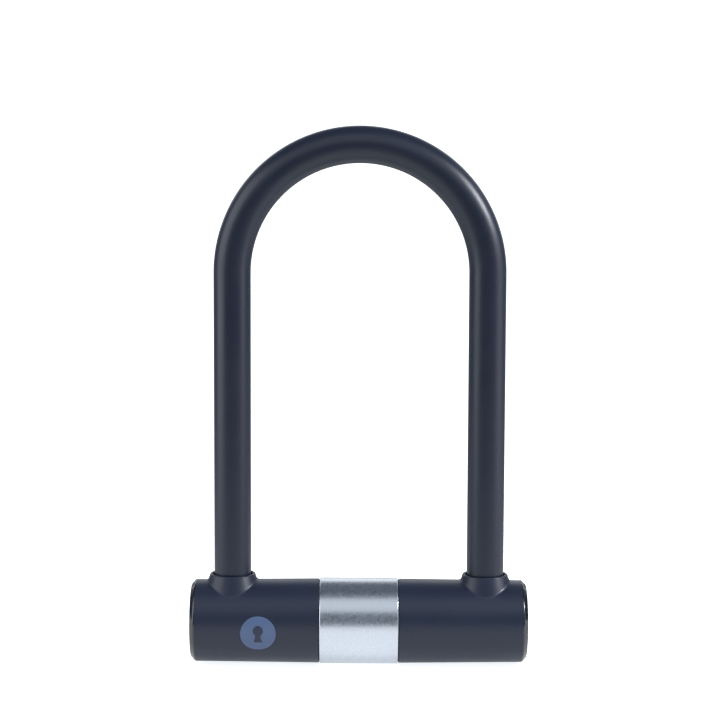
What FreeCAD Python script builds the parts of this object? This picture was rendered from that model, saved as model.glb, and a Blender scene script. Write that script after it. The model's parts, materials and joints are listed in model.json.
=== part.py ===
import FreeCAD, Part
import math
import os

# Bicycle U lock: a sleeved steel shackle whose two feet are held in a crossbar by a pair of
# deadbolts, driven by a key cylinder in the middle.
#
# Millimetres. +Z is up, X runs along the crossbar, and the front of the lock faces -Y. The
# origin is under the middle of the crossbar, at the lowest point of the centre band. Heights
# that start with UP_ are measured from the crossbar's own axis. The model stands with the
# shackle seated and both deadbolts drawn back, so that the shackle is free to lift.

V = FreeCAD.Vector
X, Y, Z = V(1, 0, 0), V(0, 1, 0), V(0, 0, 1)

# ---- driving dimensions ------------------------------------------------------------------
BAR_LENGTH = 171.0  # over both end caps
LEG_SPACING = 129.0  # centre to centre of the shackle's legs
SHACKLE_RISE = 178.3  # crossbar axis to the centre of the bend
ROD_R = 7.0  # hardened rod, 14 mm thick
SLEEVE_R = 9.4  # over the soft sleeve
BAND_R = 21.9
BAND_LENGTH = 39.8
COVER_R_INNER = 21.45  # the moulded covers taper a little from the band ...
COVER_R_OUTER = 20.85  # ... to the ends of the bar
TUBE_R = 18.2
TUBE_BORE_R = 15.0
BOLT_R = 5.0
BOLT_TRAVEL = 4.2  # for a quarter turn of the key

# ---- clearances --------------------------------------------------------------------------
RUNNING = 0.1  # radial, between a shaft and its bore
SLIDING = 0.15  # radial, round the deadbolts and their cam pins
SEATED = 0.05  # between pieces that are pushed together and stay

# ---- places that follow from them --------------------------------------------------------
AXIS_Z = BAND_R
LEG_X = LEG_SPACING / 2
BAND_GAP = 0.4
CAP_SPIGOT_R = 18.4
CAP_LAND = 0.5  # from the cover's end to where the cap's bevel starts
CAP_BEVEL_LENGTH = 2.0
CAP_BEVEL_DEPTH = 2.2
CAP_DISH_R = 14.5
CAP_DISH_DEPTH = 0.5
COVER_START = BAND_LENGTH / 2 + BAND_GAP
COVER_END = BAR_LENGTH / 2 - CAP_BEVEL_LENGTH - CAP_LAND
TUBE_END = COVER_END - 3.2

# ---- shackle -----------------------------------------------------------------------------
UP_FOOT = -10.0  # underside of each foot
FOOT_CHAMFER = 1.5
NOTCH_DEPTH = 4.2
NOTCH_HALF_HEIGHT = BOLT_R + 0.3
UP_SLEEVE_END = 20.9
SLEEVE_CHAMFER = 0.6

# ---- collars round the legs --------------------------------------------------------------
UP_COLLAR_TOP = 24.6
COLLAR_BORE_R = 10.1
COLLAR_RIM_R = 11.4  # where the outside would reach the top if it had no round lip
COLLAR_FLARE = 0.34  # growth in radius per millimetre down
COLLAR_LIP = 0.8
COLLAR_BLEND_R = 1.8
UP_COLLAR_ROOT = 8.0

# ---- inside the crossbar -----------------------------------------------------------------
FOOT_HOLE_R = ROD_R + 0.5
FOOT_BORE_R = ROD_R + 0.25
UP_FOOT_FLOOR = UP_FOOT - 0.6
BLOCK_X0, BLOCK_X1 = LEG_X - 12.0, LEG_X + 10.0
PLUG_X0 = BLOCK_X1 + 0.3
GUIDE_X0, GUIDE_X1 = 30.0, 40.0
BOLT_NOSE = LEG_X - ROD_R - 0.7
BOLT_NOSE_CHAMFER = 0.8

PIN_R = 1.25
PIN_SUNK = 0.2  # the pins end this far inside the tube's surface
UP_PIN_TOP = -8.0
THROUGH = 5.0  # how far a pin's hole is cut on past the pin

# ---- key cylinder, cam and their stack of heights ----------------------------------------
HOUSING_R = 10.4
HOUSING_PIN_X = 9.6
HOUSING_PIN_LENGTH = 29.6
UP_HOUSING_PIN = -9.0
BARREL_R = 7.0
CAVITY_R = 5.9
UP_KEY_FACE = -16.5
UP_CAVITY = -14.7
DISC_COUNT = 7
DISC_THICK = 1.5
WASHER_THICK = 0.4
DISC_PITCH = DISC_THICK + WASHER_THICK
UP_DRIVER = UP_CAVITY + DISC_COUNT * DISC_PITCH
UP_DRIVER_TOP = UP_DRIVER + 2.6
UP_HOUSING_WALL = UP_DRIVER_TOP + 0.3
UP_HOUSING_TOP = UP_HOUSING_WALL + 1.8
UP_CAM = UP_HOUSING_TOP + 0.3
CAM_THICK = 3.2
CAM_R = 12.6
CAM_TRACK_R0 = 5.6  # the cam pins' distance from the key axis with the bolts drawn back
CAM_PIN_R = 1.5
UP_ARM = UP_CAM + CAM_THICK + 0.5
ARM_THICK = 3.0
ARM_HALF_WIDTH = 4.5
ARM_INNER_X = 3.2
RISER_X0, RISER_X1 = CAM_R + 0.8, CAM_R + 6.4
KEYWAY_WIDTH, KEYWAY_LENGTH = 3.0, 8.4
TAIL_R, TAIL_FLAT = 3.4, 2.4
SIDEBAR_R = 0.9
SIDEBAR_TRACK_R = 5.95

# ---- centre band -------------------------------------------------------------------------
BAND_WALL = 1.3
LINER_R = TUBE_R + RUNNING
WINDOW_R = 7.5


def up(height):
    """Z of a height measured from the crossbar's axis."""
    return AXIS_Z + height


def rod(radius, x0, x1, y=0.0, height=0.0):
    """A cylinder along X."""
    return Part.makeCylinder(radius, x1 - x0, V(x0, y, up(height)), X)


def post(radius, low, high, x=0.0, y=0.0):
    """A cylinder along Z, between two heights."""
    return Part.makeCylinder(radius, high - low, V(x, y, up(low)), Z)


def block(x0, x1, half_width, low, high):
    """A box centred on Y = 0."""
    return Part.makeBox(x1 - x0, 2 * half_width, high - low, V(x0, -half_width, up(low)))


def turned_about_bar(outline):
    """Revolves (x, radius) points about the crossbar's axis."""
    points = [V(x, 0, up(r)) for x, r in outline]
    return Part.Face(Part.makePolygon(points + points[:1])).revolve(V(0, 0, AXIS_Z), X, 360)


def turned_about_leg(edges):
    """Revolves a closed outline, drawn in the XZ plane beside the leg, about the leg's axis."""
    face = Part.Face(Part.Wire(edges))
    return Part.Solid(face.revolve(V(LEG_X, 0, 0), Z, 360))


def near_edges(shape, wanted):
    """The edges of a shape for which wanted(edge) holds, poles left out."""
    return [e for e in shape.Edges if not e.Degenerated and wanted(e)]


def circle_at(edge, radius, x):
    """Whether an edge is a circle about the crossbar's axis, of this radius and at this X."""
    curve = edge.Curve
    return (
        isinstance(curve, Part.Circle)
        and abs(curve.Radius - radius) < 1e-3
        and abs(curve.Center.x - x) < 1e-3
    )


def to_left(shape):
    """The same piece at the other end of the bar."""
    return shape.rotated(V(0, 0, 0), Z, 180)


# ---- crossbar ----------------------------------------------------------------------------


def crossbar_tube():
    """Hardened inner tube, with holes for both feet, the key cylinder and the cross pins."""
    tube = rod(TUBE_R, -TUBE_END, TUBE_END).cut(rod(TUBE_BORE_R, -TUBE_END, TUBE_END))
    cuts = [post(HOUSING_R + SEATED, -TUBE_R - 1, 0)]
    for side in (-1, 1):
        cuts.append(post(FOOT_HOLE_R, 0, TUBE_R + 1, side * LEG_X))
    pin_holes = housing_pins(THROUGH) + end_plug_pins(THROUGH) + foot_block_pins(THROUGH)
    return tube.cut(cuts + pin_holes)


def collar():
    """Boss round a leg: a flared cone with a round lip, solid down to its root."""
    lip, top = COLLAR_LIP, up(UP_COLLAR_TOP)
    bore_x = LEG_X + COLLAR_BORE_R
    rim_x = LEG_X + COLLAR_RIM_R + COLLAR_FLARE * lip
    root_x = LEG_X + COLLAR_RIM_R + COLLAR_FLARE * (UP_COLLAR_TOP - UP_COLLAR_ROOT)
    root = up(UP_COLLAR_ROOT)
    crest = V((bore_x + rim_x) / 2, 0, top)
    bore_top, rim_top = V(bore_x, 0, top - lip), V(rim_x, 0, top - lip)
    lip_arc = Part.Arc(bore_top, crest, rim_top).toShape()
    axis_top, axis_root = V(LEG_X, 0, top - lip), V(LEG_X, 0, root)
    corners = [rim_top, V(root_x, 0, root), axis_root, axis_top, bore_top]
    sides = [Part.makeLine(a, b) for a, b in zip(corners, corners[1:])]
    return turned_about_leg([lip_arc] + sides)


def right_cover():
    """Moulded cover with its collar, and a soft edge by the band."""
    outside = turned_about_bar(
        [
            (COVER_START, 0),
            (COVER_START, COVER_R_INNER),
            (COVER_END, COVER_R_OUTER),
            (COVER_END, 0),
        ]
    )
    boss = outside.fuse(collar()).removeSplitter()
    seam = near_edges(
        boss,
        lambda e: not isinstance(e.Curve, (Part.Circle, Part.Line))
        and e.BoundBox.XMin > LEG_X - 20,
    )
    boss = boss.makeFillet(COLLAR_BLEND_R, seam)
    boss = boss.makeFillet(
        0.3, near_edges(boss, lambda e: circle_at(e, COVER_R_INNER, COVER_START))
    )
    recess = rod(CAP_SPIGOT_R + SEATED, TUBE_END, COVER_END + 1)
    hollow = rod(TUBE_R + SEATED, COVER_START - 1, TUBE_END)
    return boss.cut([recess, hollow, post(COLLAR_BORE_R, 0, UP_COLLAR_TOP + 1, LEG_X)])


def right_end_cap():
    """Glossy cap, flush with the cover, bevelled round a shallow dished face."""
    tip = BAR_LENGTH / 2
    bevel_x, face_r = tip - CAP_BEVEL_LENGTH, COVER_R_OUTER - CAP_BEVEL_DEPTH
    cap = turned_about_bar(
        [
            (TUBE_END, 0),
            (TUBE_END, CAP_SPIGOT_R),
            (COVER_END, CAP_SPIGOT_R),
            (COVER_END, COVER_R_OUTER),
            (bevel_x, COVER_R_OUTER),
            (tip, face_r),
            (tip, 0),
        ]
    )
    cap = cap.makeFillet(0.8, near_edges(cap, lambda e: circle_at(e, COVER_R_OUTER, bevel_x)))
    cap = cap.makeFillet(0.3, near_edges(cap, lambda e: circle_at(e, face_r, tip)))
    cap = cap.cut(rod(CAP_DISH_R, tip - CAP_DISH_DEPTH, tip + 1))
    dish = near_edges(
        cap,
        lambda e: circle_at(e, CAP_DISH_R, tip - CAP_DISH_DEPTH) or circle_at(e, CAP_DISH_R, tip),
    )
    return cap.makeFillet(0.2, dish)


def right_end_plug():
    """Steel disc that closes the tube behind the foot block."""
    return rod(TUBE_BORE_R - SEATED, PLUG_X0, TUBE_END).cut(end_plug_pins())


def spring_pins(x, beyond):
    """A pin at each end of the bar, up through the underside of the tube."""
    pin = post(PIN_R, PIN_SUNK - TUBE_R - beyond, UP_PIN_TOP, x)
    return [pin, to_left(pin)]


def end_plug_pins(beyond=0.0):
    return spring_pins((PLUG_X0 + TUBE_END) / 2, beyond)


def right_grommet():
    """Rubber wiper round the foot, seated in the collar on top of the tube."""
    ring = post(COLLAR_BORE_R - SEATED, 10.0, UP_SLEEVE_END - 0.2, LEG_X)
    ring = ring.cut(post(ROD_R + RUNNING, 9.0, UP_SLEEVE_END, LEG_X))
    return ring.cut(rod(TUBE_R + SEATED, LEG_X - 15, LEG_X + 15))


def right_foot_block():
    """Cast block that takes the foot from above and the deadbolt from the side."""
    cast = rod(TUBE_BORE_R - SEATED, BLOCK_X0, BLOCK_X1)
    foot_bore = post(FOOT_BORE_R, UP_FOOT_FLOOR, TUBE_BORE_R + 1, LEG_X)
    bolt_bore = rod(BOLT_R + SLIDING, BLOCK_X0 - 1, LEG_X)
    return cast.cut([foot_bore, bolt_bore] + foot_block_pins())


def foot_block_pins(beyond=0.0):
    return spring_pins(BLOCK_X0 + 2.6, beyond)


def right_bolt_guide():
    """Ring in the tube that keeps the deadbolt on the crossbar's axis."""
    ring = rod(TUBE_BORE_R - SEATED, GUIDE_X0, GUIDE_X1)
    return ring.cut(rod(BOLT_R + SLIDING, GUIDE_X0 - 1, GUIDE_X1 + 1))


def right_band_seal():
    """Thin rubber ring between the cover and the centre band."""
    x0, x1 = BAND_LENGTH / 2 + SEATED, COVER_START
    return rod(COVER_R_INNER - 0.7, x0, x1).cut(rod(TUBE_R + SEATED, x0, x1))


# ---- key cylinder ------------------------------------------------------------------------


def cylinder_housing():
    """Cylinder body, its face trimmed to the curve of the tube."""
    body = post(HOUSING_R, -TUBE_R - 1, UP_HOUSING_TOP)
    body = body.common(rod(TUBE_R - 0.1, -HOUSING_R - 1, HOUSING_R + 1))
    bore = post(BARREL_R + RUNNING, -TUBE_R - 1, UP_HOUSING_WALL)
    tail_hole = post(TAIL_R + 0.3, UP_HOUSING_WALL - 1, UP_HOUSING_TOP + 1)
    # with the bolts thrown, the sidebar stands in this groove, a quarter turn on from rest
    groove = post(SIDEBAR_R + RUNNING, UP_CAVITY, UP_DRIVER, 0, BARREL_R)
    return body.cut([bore, tail_hole, groove] + housing_pins())


def housing_pins(beyond=0.0):
    """Two cross pins that lie in flutes in the housing's sides and hold it in the tube."""
    half = HOUSING_PIN_LENGTH / 2 + beyond
    return [
        Part.makeCylinder(PIN_R, 2 * half, V(side * HOUSING_PIN_X, -half, up(UP_HOUSING_PIN)), Y)
        for side in (-1, 1)
    ]


def keyway(low, high):
    return block(-KEYWAY_LENGTH / 2, KEYWAY_LENGTH / 2, KEYWAY_WIDTH / 2, low, high)


def plug_barrel():
    """Turning barrel: keyhole in its face, a cavity for the discs, a slot for the sidebar."""
    barrel = post(BARREL_R, UP_KEY_FACE, UP_DRIVER)
    face_edge = near_edges(barrel, lambda e: abs(e.BoundBox.ZMax - up(UP_KEY_FACE)) < 1e-6)
    barrel = barrel.makeChamfer(0.3, face_edge)
    cavity = post(CAVITY_R, UP_CAVITY, UP_DRIVER + 1)
    sidebar_slot = block(4.0, BARREL_R + 1, SIDEBAR_R + SEATED, UP_CAVITY, UP_DRIVER + 1)
    return barrel.cut([cavity, sidebar_slot, keyway(UP_KEY_FACE - 1, UP_CAVITY + 1), o_ring()])


def o_ring():
    """Ring seal in a groove just behind the barrel's face."""
    return Part.makeTorus(6.65, 0.42, V(0, 0, up(UP_KEY_FACE + 1.05)), Z)


def code_discs():
    """Locking discs, each with the keyhole, its true gate and a false gate of its own."""
    discs = []
    for i in range(DISC_COUNT):
        low = UP_CAVITY + i * DISC_PITCH
        disc = post(CAVITY_R - RUNNING, low, low + DISC_THICK)
        gate = post(SIDEBAR_R + SEATED, low - 1, low + DISC_THICK + 1, SIDEBAR_TRACK_R)
        false_gate = block(5.3, CAVITY_R + 1, 0.5, low - 1, low + DISC_THICK + 1)
        false_gate = false_gate.rotated(V(0, 0, 0), Z, 60 + 33 * i)
        discs.append(disc.cut([gate, false_gate, keyway(low - 1, low + DISC_THICK + 1)]))
    return discs


def spacer_washers():
    """Thin washers between the discs, clear of the sidebar."""
    washers = []
    for i in range(DISC_COUNT):
        low = UP_CAVITY + i * DISC_PITCH + DISC_THICK
        ring = post(CAVITY_R - RUNNING, low, low + WASHER_THICK)
        hole = post(KEYWAY_LENGTH / 2 + 0.2, low - 1, low + 1)
        relief = post(SIDEBAR_R + SEATED, low - 1, low + 1, SIDEBAR_TRACK_R)
        washers.append(ring.cut([hole, relief]))
    return washers


def sidebar():
    """Bar dropped into the discs' gates, which lets the barrel turn."""
    return post(SIDEBAR_R, UP_CAVITY + 0.1, UP_DRIVER - 0.1, SIDEBAR_TRACK_R)


def plug_driver():
    """Closes the barrel behind the discs and drives the cam with a double-D tail."""
    tail = post(TAIL_R, UP_DRIVER_TOP, UP_CAM + CAM_THICK)
    tail = tail.common(block(-TAIL_R - 1, TAIL_R + 1, TAIL_FLAT, UP_DRIVER_TOP, UP_CAM + 9))
    driver = post(BARREL_R, UP_DRIVER, UP_DRIVER_TOP).fuse(tail)
    return driver.cut(post(PIN_R, UP_CAM - 1, UP_CAM + CAM_THICK + 1))


def cam_track():
    """One spiral slot, whose radius grows evenly as the cam turns, cut as a closed outline."""
    quarter, steps, over = math.pi / 2, 10, 0.03
    growth = BOLT_TRAVEL / quarter
    half = CAM_PIN_R + SLIDING

    def at(turn, offset):
        """A point beside the pins' path, offset outwards at right angles to it."""
        r, phi = CAM_TRACK_R0 + growth * turn, -turn
        lean = math.atan2(growth, r)  # the path leans this much off a circle
        normal = phi + lean
        return V(
            r * math.cos(phi) + offset * math.cos(normal),
            r * math.sin(phi) + offset * math.sin(normal),
            up(UP_CAM - 1),
        )

    turns = [-over + (quarter + 2 * over) * i / steps for i in range(steps + 1)]

    def side(offset):
        curve = Part.BSplineCurve()
        curve.interpolate([at(t, offset) for t in turns])
        return curve.toShape()

    def end(turn, away):
        """A round end, bulging along the path."""
        centre, rim = at(turn, 0), at(turn, half)
        spoke = rim - centre
        crest = centre + V(spoke.y, -spoke.x, 0) * away
        return Part.Arc(rim, crest, at(turn, -half)).toShape()

    edges = [side(half), end(turns[-1], 1), side(-half), end(turns[0], -1)]
    face = Part.Face(Part.Wire(Part.__sortEdges__(edges)))
    return face.extrude(V(0, 0, CAM_THICK + 2))


def cam_plate():
    """Scroll cam: two spiral slots that push both bolts out together."""
    plate = post(CAM_R, UP_CAM, UP_CAM + CAM_THICK)
    hole = post(TAIL_R + SEATED, UP_CAM - 1, UP_CAM + CAM_THICK + 1)
    flats = block(-TAIL_R - 1, TAIL_R + 1, TAIL_FLAT + SEATED, UP_CAM - 1, UP_CAM + 9)
    track = cam_track()
    return plate.cut([hole.common(flats), track, to_left(track)])


def cam_screw():
    """Button-head screw that holds the cam on the tail."""
    low = UP_CAM + CAM_THICK
    head = post(2.7, low, low + 1.6)
    head = head.makeFillet(0.9, near_edges(head, lambda e: e.BoundBox.ZMin > up(low + 1.5)))
    hexagon = Part.makePolygon(
        [
            V(math.cos(math.radians(a)), math.sin(math.radians(a)), up(low + 0.6))
            for a in range(0, 361, 60)
        ]
    )
    socket = Part.Face(hexagon).extrude(V(0, 0, 2))
    return head.fuse(post(PIN_R, UP_CAM - 1, low)).cut(socket)


# ---- deadbolts ---------------------------------------------------------------------------


def right_bolt_bar():
    """Round deadbolt with a flat arm that reaches in over the cam."""
    bar = rod(BOLT_R, RISER_X0, BOLT_NOSE)
    nose = near_edges(bar, lambda e: circle_at(e, BOLT_R, BOLT_NOSE))
    bar = bar.makeChamfer(BOLT_NOSE_CHAMFER, nose)
    riser = block(RISER_X0, RISER_X1, ARM_HALF_WIDTH, 0, UP_ARM + ARM_THICK)
    arm = block(ARM_INNER_X, RISER_X1, ARM_HALF_WIDTH, UP_ARM, UP_ARM + ARM_THICK)
    return bar.fuse([riser, arm]).removeSplitter().cut(right_cam_pin())


def right_cam_pin():
    """Pin pressed through the arm, riding in the cam's spiral slot."""
    return post(CAM_PIN_R, UP_CAM + 0.3, UP_ARM + ARM_THICK, CAM_TRACK_R0)


# ---- centre band -------------------------------------------------------------------------


def window(radius):
    """Round window through the band, facing the back of the lock at rest."""
    return Part.makeCylinder(radius, BAND_R, V(0, 5, AXIS_Z), Y)


def band_shell():
    """Satin metal ring, free to turn, so that its window can be brought over the keyhole."""
    half = BAND_LENGTH / 2
    ring = rod(BAND_R, -half, half)
    rims = near_edges(ring, lambda e: circle_at(e, BAND_R, half) or circle_at(e, BAND_R, -half))
    ring = ring.makeFillet(0.4, rims)
    return ring.cut([rod(BAND_R - BAND_WALL, -half, half), window(WINDOW_R)])


def band_liner():
    """Plastic ring pressed into the band, which runs on the tube."""
    half = BAND_LENGTH / 2
    ring = rod(BAND_R - BAND_WALL, -half, half)
    return ring.cut([rod(LINER_R, -half, half), window(WINDOW_R + 0.4)])


# ---- shackle -----------------------------------------------------------------------------


def u_bar(radius, low):
    """A round bar along the U: two legs and half a ring."""
    legs = [post(radius, low, SHACKLE_RISE, side * LEG_X) for side in (-1, 1)]
    start = Part.Face(Part.Wire(Part.makeCircle(radius, V(LEG_X, 0, up(SHACKLE_RISE)), Z)))
    bend = start.revolve(V(0, 0, up(SHACKLE_RISE)), V(0, -1, 0), 180)
    return legs[0].fuse([legs[1], bend]).removeSplitter()


def foot_ends(shape, radius, low):
    """The two end circles of a U bar."""
    return near_edges(
        shape,
        lambda e: isinstance(e.Curve, Part.Circle)
        and abs(e.Curve.Center.z - up(low)) < 1e-6
        and abs(e.Curve.Radius - radius) < 1e-6,
    )


def shackle_core():
    """Hardened rod, notched on the inner side of each foot for the deadbolts."""
    core = u_bar(ROD_R, UP_FOOT)
    core = core.makeChamfer(FOOT_CHAMFER, foot_ends(core, ROD_R, UP_FOOT))
    inner = LEG_X - ROD_R
    notch = block(
        inner - 1, inner + NOTCH_DEPTH, ROD_R + 1, -NOTCH_HALF_HEIGHT, NOTCH_HALF_HEIGHT
    )
    return core.cut([notch, to_left(notch)])


def shackle_sleeve():
    """Soft sleeve over the rod, from collar to collar."""
    sleeve = u_bar(SLEEVE_R, UP_SLEEVE_END)
    sleeve = sleeve.makeChamfer(SLEEVE_CHAMFER, foot_ends(sleeve, SLEEVE_R, UP_SLEEVE_END))
    return sleeve.cut(u_bar(ROD_R, UP_SLEEVE_END - 1))


# ---- nodes -------------------------------------------------------------------------------


def nodes():
    made = {
        "crossbar_tube": crossbar_tube(),
        "end_plug_pins": end_plug_pins(),
        "foot_block_pins": foot_block_pins(),
        "cylinder_housing": cylinder_housing(),
        "housing_pins": housing_pins(),
        "plug_barrel": plug_barrel(),
        "plug_o_ring": o_ring(),
        "code_discs": code_discs(),
        "spacer_washers": spacer_washers(),
        "sidebar": sidebar(),
        "plug_driver": plug_driver(),
        "cam_plate": cam_plate(),
        "cam_screw": cam_screw(),
        "band_shell": band_shell(),
        "band_liner": band_liner(),
        "shackle_core": shackle_core(),
        "shackle_sleeve": shackle_sleeve(),
    }
    pairs = {
        "cover": right_cover,
        "end_cap": right_end_cap,
        "end_plug": right_end_plug,
        "grommet": right_grommet,
        "foot_block": right_foot_block,
        "bolt_guide": right_bolt_guide,
        "band_seal": right_band_seal,
        "bolt_bar": right_bolt_bar,
        "cam_pin": right_cam_pin,
    }
    for name, build in pairs.items():
        made["right_" + name] = build()
        made["left_" + name] = to_left(made["right_" + name])
    return made


def main():
    os.makedirs("parts", exist_ok=True)
    for name, shape in nodes().items():
        solids = shape if isinstance(shape, list) else shape.Solids
        assert solids and all(s.isValid() and s.Volume > 0 for s in solids), name
        whole = solids[0] if len(solids) == 1 else Part.makeCompound(solids)
        whole.exportStep(os.path.join("parts", name + ".step"))
        print(f"{name}: {len(solids)} solid(s), {sum(s.Volume for s in solids):.1f} mm3")


main()
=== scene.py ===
import bmesh
import bpy
import json
import math
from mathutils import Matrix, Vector


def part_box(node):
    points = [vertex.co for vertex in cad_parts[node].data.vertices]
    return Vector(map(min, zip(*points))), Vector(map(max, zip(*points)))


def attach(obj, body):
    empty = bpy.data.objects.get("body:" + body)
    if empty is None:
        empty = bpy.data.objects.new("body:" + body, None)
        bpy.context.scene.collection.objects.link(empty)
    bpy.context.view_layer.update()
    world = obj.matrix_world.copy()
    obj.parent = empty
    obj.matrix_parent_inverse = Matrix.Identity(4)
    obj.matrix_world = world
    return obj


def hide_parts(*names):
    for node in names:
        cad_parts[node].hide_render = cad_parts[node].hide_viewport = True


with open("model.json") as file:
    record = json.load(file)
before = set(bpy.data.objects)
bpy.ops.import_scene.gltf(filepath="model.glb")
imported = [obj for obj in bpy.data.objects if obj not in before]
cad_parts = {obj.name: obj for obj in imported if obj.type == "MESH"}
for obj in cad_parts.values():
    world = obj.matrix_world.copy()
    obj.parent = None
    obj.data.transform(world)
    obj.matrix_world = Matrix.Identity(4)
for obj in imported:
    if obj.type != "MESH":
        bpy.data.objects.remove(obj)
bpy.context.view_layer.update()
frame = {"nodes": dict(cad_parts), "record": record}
nodes = frame["nodes"]
scene = bpy.context.scene
print("frame loaded:", len(nodes), "nodes")

# the lock stands on its crossbar: +Z up, X along the crossbar, front towards -Y
bandLow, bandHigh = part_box("band_shell")
sleeveLow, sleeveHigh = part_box("shackle_sleeve")
axisZ = (bandLow[2] + bandHigh[2]) / 2  # height of the crossbar's axis
bandHalf = bandHigh[0]


# small helpers for node trees


def addNode(tree, kind, **values):
    # a node with its settings, and its inputs by name where the value isn't a setting
    node = tree.nodes.new(kind)
    inputs = values.pop("inputs", {})
    for key, value in values.items():
        setattr(node, key, value)
    for key, value in inputs.items():
        node.inputs[key].default_value = value
    return node


def join(tree, source, target):
    tree.links.new(source, target)


def maths(tree, operation, first, second=None, third=None):
    # a Math node whose inputs are numbers or other nodes' outputs
    node = addNode(tree, "ShaderNodeMath", operation=operation)
    for index, value in enumerate((first, second, third)):
        if value is None:
            continue
        if isinstance(value, (int, float)):
            node.inputs[index].default_value = value
        else:
            join(tree, value, node.inputs[index])
    return node.outputs[0]


def newGroup(name, inputs, outputs):
    # inputs: name -> (socket type, default); outputs: name -> socket type
    group = bpy.data.node_groups.new(name, "ShaderNodeTree")
    for key, (kind, default) in inputs.items():
        socket = group.interface.new_socket(key, in_out="INPUT", socket_type=kind)
        socket.default_value = default
    for key, kind in outputs.items():
        group.interface.new_socket(key, in_out="OUTPUT", socket_type=kind)
    start = group.nodes.new("NodeGroupInput")
    end = group.nodes.new("NodeGroupOutput")
    return group, start, end


number, colour, vector = "NodeSocketFloat", "NodeSocketColor", "NodeSocketVector"


# effects shared by several materials

patterns = {
    "fineDetail": 2.0,
    "coarseDetail": 3.0,
    "coarseShare": 0.37,  # how often the coarse bumps repeat, against the fine ones
    "coarseWeight": 0.6,
    "smudgeDetail": 5.0,
    "smudgeRoughness": 0.62,
    "noiseLow": 0.32,  # where most of a noise's values lie
    "noiseHigh": 0.68,
    "driftGain": 4.0,  # a noise rarely strays more than a quarter from its middle
    "bumpDistance": 0.0002,
}


def makeGrainGroup():
    # fine moulded or cast grain: small bumps of two sizes, and soft smudges for the gloss
    group, start, end = newGroup(
        "fineGrain",
        {
            "Grain Size": (number, 0.0004),
            "Smudge Size": (number, 0.02),
            "Stretch": (vector, (1.0, 1.0, 1.0)),
        },
        {"Height": number, "Smudge": number},
    )
    where = addNode(group, "ShaderNodeTexCoord").outputs["Object"]
    stretched = addNode(group, "ShaderNodeVectorMath", operation="MULTIPLY")
    join(group, where, stretched.inputs[0])
    join(group, start.outputs["Stretch"], stretched.inputs[1])
    place = stretched.outputs[0]
    fine = maths(group, "DIVIDE", 1.0, start.outputs["Grain Size"])
    coarse = maths(group, "MULTIPLY", fine, patterns["coarseShare"])
    wide = maths(group, "DIVIDE", 1.0, start.outputs["Smudge Size"])
    heights = []
    for scale, detail in ((fine, patterns["fineDetail"]), (coarse, patterns["coarseDetail"])):
        noise = addNode(group, "ShaderNodeTexNoise", inputs={"Detail": detail})
        join(group, place, noise.inputs["Vector"])
        join(group, scale, noise.inputs["Scale"])
        heights.append(noise.outputs["Fac"])
    both = maths(group, "MULTIPLY_ADD", heights[1], patterns["coarseWeight"], heights[0])
    join(group, both, end.inputs["Height"])
    smudge = addNode(
        group,
        "ShaderNodeTexNoise",
        inputs={"Detail": patterns["smudgeDetail"], "Roughness": patterns["smudgeRoughness"]},
    )
    join(group, where, smudge.inputs["Vector"])
    join(group, wide, smudge.inputs["Scale"])
    join(group, smudge.outputs["Fac"], end.inputs["Smudge"])
    return group


def makeSpreadGroup():
    # lays a value between two limits, for a roughness that follows a pattern
    group, start, end = newGroup(
        "spread",
        {"Pattern": (number, 0.5), "Low": (number, 0.3), "High": (number, 0.5)},
        {"Value": number},
    )
    spread = addNode(
        group,
        "ShaderNodeMapRange",
        inputs={"From Min": patterns["noiseLow"], "From Max": patterns["noiseHigh"]},
    )
    join(group, start.outputs["Pattern"], spread.inputs["Value"])
    join(group, start.outputs["Low"], spread.inputs["To Min"])
    join(group, start.outputs["High"], spread.inputs["To Max"])
    join(group, spread.outputs["Result"], end.inputs["Value"])
    return group


def makeTintGroup():
    # a colour that drifts a little lighter and darker over the surface
    group, start, end = newGroup(
        "tint",
        {
            "Colour": (colour, (0.5, 0.5, 0.5, 1.0)),
            "Pattern": (number, 0.5),
            "Depth": (number, 0.1),
        },
        {"Colour": colour},
    )
    centred = maths(group, "SUBTRACT", start.outputs["Pattern"], 0.5)
    depth = maths(group, "MULTIPLY", start.outputs["Depth"], patterns["driftGain"])
    gain = maths(group, "MULTIPLY_ADD", centred, depth, 1.0)
    scaled = addNode(group, "ShaderNodeVectorMath", operation="SCALE")
    join(group, start.outputs["Colour"], scaled.inputs[0])
    join(group, gain, scaled.inputs["Scale"])
    join(group, scaled.outputs[0], end.inputs["Colour"])
    return group


grainGroup = makeGrainGroup()
spreadGroup = makeSpreadGroup()
tintGroup = makeTintGroup()


def useGroup(tree, group, inputs):
    # a group whose inputs are fixed values or other nodes' outputs
    node = addNode(tree, "ShaderNodeGroup", node_tree=group)
    for key, value in inputs.items():
        if hasattr(value, "is_output"):
            join(tree, value, node.inputs[key])
        else:
            node.inputs[key].default_value = value
    return node


# materials, one for each of the record's slots; each finish has its colour, the limits of its
# roughness, the size and strength of its grain, how far its colour drifts and its smudges' size

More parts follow.
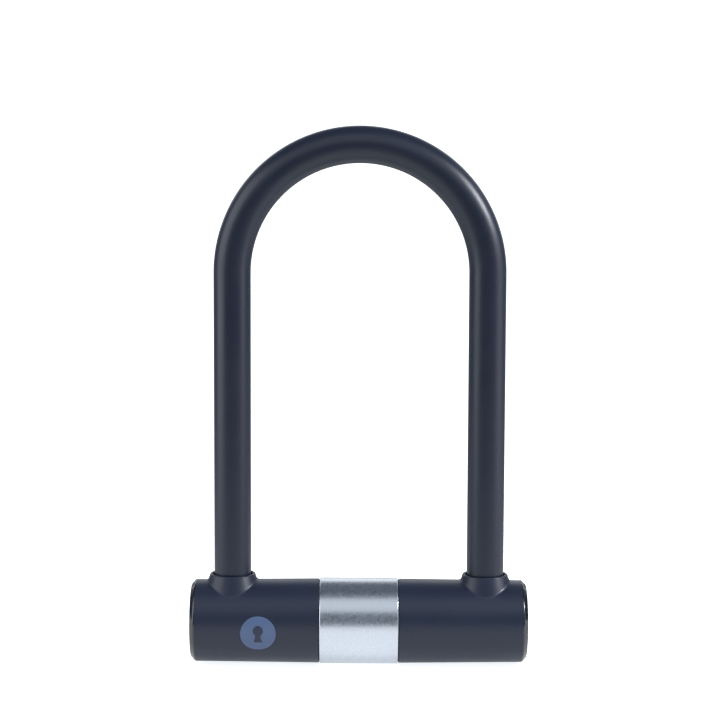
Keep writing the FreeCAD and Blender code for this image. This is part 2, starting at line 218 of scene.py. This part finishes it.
finishes = {
    "shackle_vinyl": dict(
        base=(0.010, 0.015, 0.030), rough=(0.32, 0.39), grain=0.0005, bump=0.06, drift=0.05,
        smudge=0.03,
    ),
    "cover_plastic": dict(
        base=(0.012, 0.018, 0.037), rough=(0.36, 0.43), grain=0.00045, bump=0.08, drift=0.05,
        smudge=0.03,
    ),
    "cap_plastic": dict(
        base=(0.004, 0.005, 0.009), rough=(0.10, 0.17), grain=0.0015, bump=0.01, drift=0.05,
        smudge=0.015, ior=1.8,
    ),
    "band_metal": dict(
        base=(0.69, 0.735, 0.785), rough=(0.25, 0.34), grain=0.0006, bump=0.06, drift=0.03,
        smudge=0.0018, metal=1.0,
    ),
    "shackle_steel": dict(
        base=(0.50, 0.51, 0.53), rough=(0.24, 0.40), grain=0.0004, bump=0.05, drift=0.10,
        smudge=0.008, metal=1.0, stretch=(1.0, 1.0, 0.08),
    ),
    "tube_steel": dict(
        base=(0.36, 0.37, 0.39), rough=(0.30, 0.46), grain=0.0004, bump=0.06, drift=0.12,
        smudge=0.01, metal=1.0, stretch=(0.08, 1.0, 1.0),
    ),
    "liner_plastic": dict(
        base=(0.020, 0.020, 0.024), rough=(0.50, 0.62), grain=0.0004, bump=0.08, drift=0.06,
        smudge=0.01,
    ),
    "seal_rubber": dict(
        base=(0.010, 0.010, 0.012), rough=(0.62, 0.78), grain=0.0003, bump=0.10, drift=0.10,
        smudge=0.006,
    ),
    "cast_block": dict(
        base=(0.26, 0.26, 0.27), rough=(0.50, 0.68), grain=0.0008, bump=0.25, drift=0.16,
        smudge=0.006, metal=1.0,
    ),
    "pin_steel": dict(
        base=(0.45, 0.46, 0.48), rough=(0.26, 0.40), grain=0.0003, bump=0.04, drift=0.10,
        smudge=0.004, metal=1.0,
    ),
    "bolt_steel": dict(
        base=(0.56, 0.57, 0.59), rough=(0.14, 0.26), grain=0.0003, bump=0.03, drift=0.08,
        smudge=0.006, metal=1.0, stretch=(0.08, 1.0, 1.0),
    ),
    "cylinder_brass": dict(
        base=(0.70, 0.55, 0.29), rough=(0.20, 0.34), grain=0.0003, bump=0.04, drift=0.10,
        smudge=0.005, metal=1.0,
    ),
    "disc_steel": dict(
        base=(0.48, 0.48, 0.48), rough=(0.26, 0.38), grain=0.0003, bump=0.04, drift=0.10,
        smudge=0.004, metal=1.0,
    ),
    "guide_plastic": dict(
        base=(0.62, 0.61, 0.57), rough=(0.42, 0.55), grain=0.0005, bump=0.05, drift=0.05,
        smudge=0.01,
    ),
}


def makeFinish(name, finish):
    material = bpy.data.materials.new(name + "Finish")
    material.use_nodes = True
    tree = material.node_tree
    tree.nodes.clear()
    output = addNode(tree, "ShaderNodeOutputMaterial")
    shader = addNode(tree, "ShaderNodeBsdfPrincipled")
    join(tree, shader.outputs[0], output.inputs["Surface"])
    shader.inputs["Metallic"].default_value = finish.get("metal", 0.0)
    shader.inputs["IOR"].default_value = finish.get("ior", 1.5)
    texture = {
        "Grain Size": finish["grain"],
        "Smudge Size": finish["smudge"],
        "Stretch": finish.get("stretch", (1.0, 1.0, 1.0)),
    }
    grain = useGroup(tree, grainGroup, texture)
    smudge = grain.outputs["Smudge"]
    drift = {"Colour": (*finish["base"], 1.0), "Pattern": smudge, "Depth": finish["drift"]}
    tint = useGroup(tree, tintGroup, drift)
    join(tree, tint.outputs["Colour"], shader.inputs["Base Color"])
    low, high = finish["rough"]
    gloss = useGroup(tree, spreadGroup, {"Pattern": smudge, "Low": low, "High": high})
    join(tree, gloss.outputs["Value"], shader.inputs["Roughness"])
    relief = {"Strength": finish["bump"], "Distance": patterns["bumpDistance"]}
    bump = addNode(tree, "ShaderNodeBump", inputs=relief)
    join(tree, grain.outputs["Height"], bump.inputs["Height"])
    join(tree, bump.outputs["Normal"], shader.inputs["Normal"])
    return material


materials = {name: makeFinish(name, finish) for name, finish in finishes.items()}
print("materials:", len(materials))

for row in frame["record"]["subparts"]:
    mesh = nodes[row["node"]].data
    mesh.materials.clear()
    mesh.materials.append(materials[row["material_slot"]])


def newPiece(name, mesh, body, material):
    piece = bpy.data.objects.new(name, mesh)
    scene.collection.objects.link(piece)
    mesh.materials.clear()
    mesh.materials.append(material)
    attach(piece, body)
    return piece


# the shackle's soft sleeve, swept along the U by Geometry Nodes

sleeve = {
    "radius": 0.0094,
    "wall": 0.00237,
    "edge": 0.0006,  # rounding of the two ends
    "edgeSegments": 3,
    "edgeAngle": math.radians(50),  # only corners sharper than this are rounded
    "pathSteps": 300,
    "sides": 56,
}


def buildSleeveTree():
    tree = bpy.data.node_groups.new("sleeveAlongU", "GeometryNodeTree")
    tree.interface.new_socket("Geometry", in_out="INPUT", socket_type="NodeSocketGeometry")
    for name in ("Leg Offset", "Leg Start", "Leg Length", "Radius"):
        tree.interface.new_socket(name, in_out="INPUT", socket_type="NodeSocketFloat")
    for name in ("Path Steps", "Sides"):
        tree.interface.new_socket(name, in_out="INPUT", socket_type="NodeSocketInt")
    tree.interface.new_socket("Material", in_out="INPUT", socket_type="NodeSocketMaterial")
    tree.interface.new_socket("Geometry", in_out="OUTPUT", socket_type="NodeSocketGeometry")
    start = tree.nodes.new("NodeGroupInput").outputs
    end = tree.nodes.new("NodeGroupOutput")

    # how far along the path each point is: a leg, half a ring, the other leg
    line = addNode(tree, "GeometryNodeCurvePrimitiveLine")
    points = addNode(tree, "GeometryNodeResampleCurve")
    join(tree, line.outputs[0], points.inputs["Curve"])
    join(tree, start["Path Steps"], points.inputs["Count"])
    along = addNode(tree, "GeometryNodeSplineParameter").outputs["Factor"]
    ring = maths(tree, "MULTIPLY", start["Leg Offset"], math.pi)
    total = maths(tree, "MULTIPLY_ADD", start["Leg Length"], 2.0, ring)
    run = maths(tree, "MULTIPLY", along, total)
    past = maths(tree, "SUBTRACT", run, start["Leg Length"])
    turned = maths(tree, "DIVIDE", past, start["Leg Offset"])
    turn = maths(tree, "MINIMUM", maths(tree, "MAXIMUM", turned, 0.0), math.pi)
    rise = maths(tree, "MINIMUM", run, start["Leg Length"])
    fall = maths(tree, "MAXIMUM", maths(tree, "SUBTRACT", past, ring), 0.0)
    across = maths(tree, "MULTIPLY", maths(tree, "COSINE", turn), start["Leg Offset"])
    bow = maths(tree, "MULTIPLY", maths(tree, "SINE", turn), start["Leg Offset"])
    height = maths(tree, "ADD", maths(tree, "ADD", rise, bow), start["Leg Start"])
    place = addNode(tree, "ShaderNodeCombineXYZ")
    join(tree, maths(tree, "MULTIPLY", across, -1.0), place.inputs["X"])
    join(tree, maths(tree, "SUBTRACT", height, fall), place.inputs["Z"])
    bent = addNode(tree, "GeometryNodeSetPosition")
    join(tree, points.outputs[0], bent.inputs["Geometry"])
    join(tree, place.outputs[0], bent.inputs["Position"])

    section = addNode(tree, "GeometryNodeCurvePrimitiveCircle")
    join(tree, start["Sides"], section.inputs["Resolution"])
    join(tree, start["Radius"], section.inputs["Radius"])
    swept = addNode(tree, "GeometryNodeCurveToMesh")
    join(tree, bent.outputs[0], swept.inputs["Curve"])
    join(tree, section.outputs[0], swept.inputs["Profile Curve"])
    smooth = addNode(tree, "GeometryNodeSetShadeSmooth")
    join(tree, swept.outputs[0], smooth.inputs["Geometry"])
    real = addNode(tree, "GeometryNodeRealizeInstances")
    join(tree, smooth.outputs[0], real.inputs["Geometry"])
    coated = addNode(tree, "GeometryNodeSetMaterial")
    join(tree, real.outputs[0], coated.inputs["Geometry"])
    join(tree, start["Material"], coated.inputs["Material"])
    join(tree, coated.outputs[0], end.inputs["Geometry"])
    return tree


def runNodes(tree, inputs):
    # evaluates a tree on an empty mesh and gives back a plain mesh
    holder = bpy.data.objects.new("nodesHolder", bpy.data.meshes.new("nodesHolder"))
    scene.collection.objects.link(holder)
    modifier = holder.modifiers.new("nodes", "NODES")
    modifier.node_group = tree
    sockets = {s.name: s.identifier for s in tree.interface.items_tree if s.in_out == "INPUT"}
    for name, value in inputs.items():
        modifier[sockets[name]] = value
    graph = bpy.context.evaluated_depsgraph_get()
    mesh = bpy.data.meshes.new_from_object(holder.evaluated_get(graph))
    holder.modifiers.remove(modifier)
    bpy.data.objects.remove(holder)
    return mesh


def makeSleeve():
    offset = sleeveHigh[0] - sleeve["radius"]
    inputs = {
        "Leg Offset": offset,
        "Leg Start": sleeveLow[2],
        "Leg Length": sleeveHigh[2] - sleeve["radius"] - offset - sleeveLow[2],
        "Radius": sleeve["radius"],
        "Path Steps": sleeve["pathSteps"],
        "Sides": sleeve["sides"],
        "Material": materials["shackle_vinyl"],
    }
    mesh = runNodes(buildSleeveTree(), inputs)
    work = bmesh.new()
    work.from_mesh(mesh)
    bmesh.ops.recalc_face_normals(work, faces=work.faces)
    inLeg = Vector((offset, 0, sleeveLow[2] + sleeve["radius"]))  # on a leg's centre line
    near = min(work.faces, key=lambda f: (f.calc_center_median() - inLeg).length)
    if near.normal.dot(near.calc_center_median() - inLeg) < 0:
        bmesh.ops.reverse_faces(work, faces=work.faces)
    work.to_mesh(mesh)
    work.free()
    piece = newPiece("sleeve", mesh, "shackle", materials["shackle_vinyl"])
    wall = piece.modifiers.new("wall", "SOLIDIFY")
    wall.thickness = sleeve["wall"]
    wall.offset = -1.0
    ends = piece.modifiers.new("ends", "BEVEL")
    ends.width = sleeve["edge"]
    ends.segments = sleeve["edgeSegments"]
    ends.limit_method = "ANGLE"
    ends.angle_limit = sleeve["edgeAngle"]
    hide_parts("shackle_sleeve")


makeSleeve()
print("sleeve made")


# printed badge on the left cover: a disc with a plain keyhole in it

cover = {
    "bandRadius": 0.02145,  # beside the band
    "endRadius": 0.02085,  # at the bevelled end
    "bandGap": 0.0004,
    "end": 0.083,
}

badge = {
    "centreX": -0.0507,
    "turn": math.radians(6.6),  # below the front of the bar
    "radius": 0.00895,
    "sides": 96,
    "rings": 12,
    "thickness": 0.00012,
    "colour": (0.080, 0.125, 0.235),
    "markSize": 0.72,  # shares of the badge's radius
    "markRise": 0.1,
    "markRings": 8,
    "markThickness": 0.00018,
    "markColour": (0.016, 0.025, 0.050),
    "bump": 0.03,
    "sink": 0.00005,  # how far the print's underside lies in the cover
    "rimHeight": 0.6,  # the rim's edge, as a share of the thickness ...
    "rimWidth": 0.99,  # ... and where the flat begins, as a share of the outline
}

keyhole = {"head": 0.40, "neck": 0.20, "foot": 0.34, "drop": 0.95, "lift": 0.25, "steps": 36}


def coverRadius(x):
    # the cover tapers evenly from the band to its bevelled end
    start = bandHalf + cover["bandGap"]
    share = min(max((abs(x) - start) / (cover["end"] - start), 0.0), 1.0)
    return cover["bandRadius"] + (cover["endRadius"] - cover["bandRadius"]) * share


def onCover(u, v, lift):
    # u along the bar and v up round it, both measured from the badge's middle
    x = badge["centreX"] + u
    radius = coverRadius(x) + lift
    angle = v / coverRadius(x) - badge["turn"]
    return Vector((x, -radius * math.cos(angle), axisZ + radius * math.sin(angle)))


def wrappedPatch(name, outline, middle, rings, thickness):
    # a thin raised patch with a soft rim, laid round the cover
    work = bmesh.new()
    midU, midV = middle

    def loop(share, lift):
        places = [(midU + (u - midU) * share, midV + (v - midV) * share) for u, v in outline]
        return [work.verts.new(onCover(u, v, lift)) for u, v in places]

    loops = [
        loop(1.0, -badge["sink"]),
        loop(1.0, thickness * badge["rimHeight"]),
        loop(badge["rimWidth"], thickness),
    ]
    loops += [loop(1.0 - i / rings, thickness) for i in range(1, rings)]
    count = len(outline)
    for outer, inner in zip(loops, loops[1:]):
        for i in range(count):
            j = (i + 1) % count
            work.faces.new((outer[i], outer[j], inner[j], inner[i]))
    peak = work.verts.new(onCover(*middle, thickness))
    for i in range(count):
        work.faces.new((loops[-1][i], loops[-1][(i + 1) % count], peak))
    base = work.verts.new(onCover(*middle, -badge["sink"]))
    for i in range(count):
        work.faces.new((loops[0][(i + 1) % count], loops[0][i], base))
    bmesh.ops.recalc_face_normals(work, faces=work.faces)
    for face in work.faces:
        face.smooth = True
    mesh = bpy.data.meshes.new(name)
    work.to_mesh(mesh)
    work.free()
    return mesh


def keyholeOutline(size):
    # a round head with a flared slot below it
    head, foot = keyhole["head"] * size, keyhole["foot"] * size
    drop, lift = keyhole["drop"] * size, keyhole["lift"] * size
    opening = math.asin(keyhole["neck"] / keyhole["head"])
    points = []
    for i in range(keyhole["steps"] + 1):
        angle = -math.pi / 2 + opening + (math.tau - 2 * opening) * i / keyhole["steps"]
        points.append((head * math.cos(angle), lift + head * math.sin(angle)))
    points.append((-foot, lift - drop))
    points.append((foot, lift - drop))
    return points


def makeBadge():
    radius, sides = badge["radius"], badge["sides"]
    angles = [math.tau * i / sides for i in range(sides)]
    circle = [(radius * math.cos(angle), radius * math.sin(angle)) for angle in angles]
    disc = dict(finishes["cover_plastic"], base=badge["colour"], bump=badge["bump"])
    mesh = wrappedPatch("badgeDisc", circle, (0.0, 0.0), badge["rings"], badge["thickness"])
    newPiece("badge_disc", mesh, "crossbar", makeFinish("badge", disc))
    mark = dict(finishes["cover_plastic"], base=badge["markColour"], bump=badge["bump"])
    outline = keyholeOutline(radius * badge["markSize"])
    middle = (0.0, radius * badge["markRise"])
    mesh = wrappedPatch(
        "badgeMark", outline, middle, badge["markRings"], badge["markThickness"]
    )
    newPiece("badge_mark", mesh, "crossbar", makeFinish("mark", mark))


makeBadge()
print("badge made")


# studio: pale sweep, soft lights, camera

studio = {
    "paperSeen": 0.86,  # the paper's shade straight to the camera ...
    "paperMirrored": 0.35,  # ... and in reflections, where it is painted darker away from the lock
    "paperRoughness": 0.9,
    "paperShine": 0.1,
    "glowSeen": 0.90,  # keeps the sweep white to the camera
    "glowMirrored": 0.66,  # painted glow that the paper close to the lock adds in reflections
    "paintedPoolFrom": (-0.70, -0.18),  # the painted bright pool on the paper starts, in Y ...
    "paintedPoolTo": (0.03, 0.40),  # ... and ends
    # the painted pool's dim levels, in front of the lock and behind it
    "paintedDimFront": 0.22,
    "paintedDimBack": 0.32,
    "sweepHalfWidth": 2.4,
    "sweepFront": -2.2,
    "wallAt": 1.9,
    "wallHeight": 2.2,
    "corner": 0.6,
    "cornerSteps": 24,
    "lightPower": 4,  # watts from each square metre of a light, at a glow of 1
    "worldGrey": 0.13,
    "tint": (0.95, 0.985, 1.03),  # the lights are a little cool
    "worldTint": (0.78, 0.95, 1.20),
}

softLights = {
    # each one's place, the point it faces, width and height, brightness, seen in reflections
    "overhead": dict(
        at=(0.0, -0.3, 2.2), to=(0.0, -0.2, 0.0), size=(2.4, 1.6), glow=0.9, mirrored=False
    ),
    "frontBox": dict(
        at=(0.05, -0.49, 0.69), to=(0.0, 0.0, 0.03), size=(1.6, 0.6), glow=0.52, mirrored=True
    ),
    "backBox": dict(
        at=(0.0, 1.4, 0.70), to=(0.0, 0.0, 0.1), size=(2.4, 0.8), glow=0.75, mirrored=True
    ),
    "leftBox": dict(
        at=(-0.9, -0.32, 0.45), to=(-0.1, -0.3, 0.2), size=(0.88, 0.9), glow=1.8, mirrored=True
    ),
    "rightBox": dict(
        at=(0.9, -0.26, 0.45), to=(0.1, -0.24, 0.2), size=(0.7, 0.9), glow=0.95, mirrored=True
    ),
    "edgeLight": dict(
        at=(1.15, -0.33, 0.84), to=(0.06, 0.0, 0.22), size=(0.34, 0.34), glow=30.0, mirrored=True
    ),
}

view = {
    "sensorWidth": 36.0,
    "lens": 100.0,
    "clipStart": 0.01,
    "place": (-0.0004, -1.0082, 0.2546),
    "turn": (math.radians(84.42), math.radians(-0.22), math.radians(-0.01)),
}


def makeSweep():
    # floor running back into a wall through a round corner
    front, wall, corner = studio["sweepFront"], studio["wallAt"], studio["corner"]
    profile = [(front, 0.0), (wall - corner, 0.0)]
    steps = studio["cornerSteps"]
    for i in range(1, steps + 1):
        angle = math.pi / 2 * i / steps
        profile.append(
            (wall - corner + corner * math.sin(angle), corner - corner * math.cos(angle))
        )
    profile.append((wall, studio["wallHeight"]))
    work = bmesh.new()
    rows = [
        [work.verts.new((side * studio["sweepHalfWidth"], y, z)) for side in (-1, 1)]
        for y, z in profile
    ]
    for (a, b), (c, d) in zip(rows, rows[1:]):
        work.faces.new((a, b, d, c)).smooth = True
    mesh = bpy.data.meshes.new("sweep")
    work.to_mesh(mesh)
    work.free()
    mesh.materials.append(makePaper())
    sweep = bpy.data.objects.new("sweep", mesh)
    scene.collection.objects.link(sweep)


def makePaper():
    # a sweep that is white to the camera and dimmer in reflections, with painted glow and colour
    # brightest near the lock
    material = bpy.data.materials.new("sweepPaper")
    material.use_nodes = True
    tree = material.node_tree
    shader = tree.nodes["Principled BSDF"]
    shader.inputs["Roughness"].default_value = studio["paperRoughness"]
    shader.inputs["Specular IOR Level"].default_value = studio["paperShine"]
    shader.inputs["Emission Color"].default_value = (*studio["tint"], 1.0)
    parts = addNode(tree, "ShaderNodeSeparateXYZ")
    join(tree, addNode(tree, "ShaderNodeTexCoord").outputs["Object"], parts.inputs[0])

    def ramp(span, low, high):
        node = addNode(
            tree,
            "ShaderNodeMapRange",
            interpolation_type="SMOOTHSTEP",
            inputs={"From Min": span[0], "From Max": span[1], "To Min": low, "To Max": high},
        )
        join(tree, parts.outputs["Y"], node.inputs["Value"])
        return node.outputs["Result"]

    # painted pool of light: in reflections the paper's glow and colour are brightest near the lock
    paintedPool = maths(
        tree,
        "MULTIPLY",
        ramp(studio["paintedPoolFrom"], studio["paintedDimFront"], 1.0),
        ramp(studio["paintedPoolTo"], 1.0, studio["paintedDimBack"]),
    )
    seen = addNode(tree, "ShaderNodeLightPath").outputs["Is Camera Ray"]

    def unlessSeen(mirrored, direct):
        # one value in reflections, another straight to the camera
        node = addNode(tree, "ShaderNodeMix")
        join(tree, seen, node.inputs["Factor"])
        join(tree, mirrored, node.inputs["A"])
        node.inputs["B"].default_value = direct
        return node.outputs["Result"]

    glow = unlessSeen(maths(tree, "MULTIPLY", paintedPool, studio["glowMirrored"]), studio["glowSeen"])
    paper = unlessSeen(maths(tree, "MULTIPLY", paintedPool, studio["paperMirrored"]), studio["paperSeen"])
    join(tree, glow, shader.inputs["Emission Strength"])
    join(tree, paper, shader.inputs["Base Color"])
    return material


def makeLights():
    for name, light in softLights.items():
        data = bpy.data.lights.new(name, "AREA")
        data.shape = "RECTANGLE"
        data.size, data.size_y = light["size"]
        data.color = studio["tint"]
        data.energy = light["glow"] * studio["lightPower"] * data.size * data.size_y
        lamp = bpy.data.objects.new(name, data)
        lamp.location = light["at"]
        aim = Vector(light["to"]) - lamp.location
        lamp.rotation_euler = aim.to_track_quat("-Z", "Y").to_euler()
        lamp.visible_camera = False
        lamp.visible_glossy = light["mirrored"]
        scene.collection.objects.link(lamp)
    world = bpy.data.worlds.new("studioWorld")
    scene.world = world
    world.use_nodes = True
    background = world.node_tree.nodes["Background"]
    background.inputs["Color"].default_value = (*studio["worldTint"], 1.0)
    background.inputs["Strength"].default_value = studio["worldGrey"]


def makeCamera():
    data = bpy.data.cameras.new("camera")
    data.sensor_width = view["sensorWidth"]
    data.lens = view["lens"]
    data.clip_start = view["clipStart"]
    camera = bpy.data.objects.new("camera", data)
    camera.location = view["place"]
    camera.rotation_euler = view["turn"]
    scene.collection.objects.link(camera)
    scene.camera = camera


makeSweep()
makeLights()
makeCamera()
scene.view_settings.view_transform = "Standard"
print("studio made")
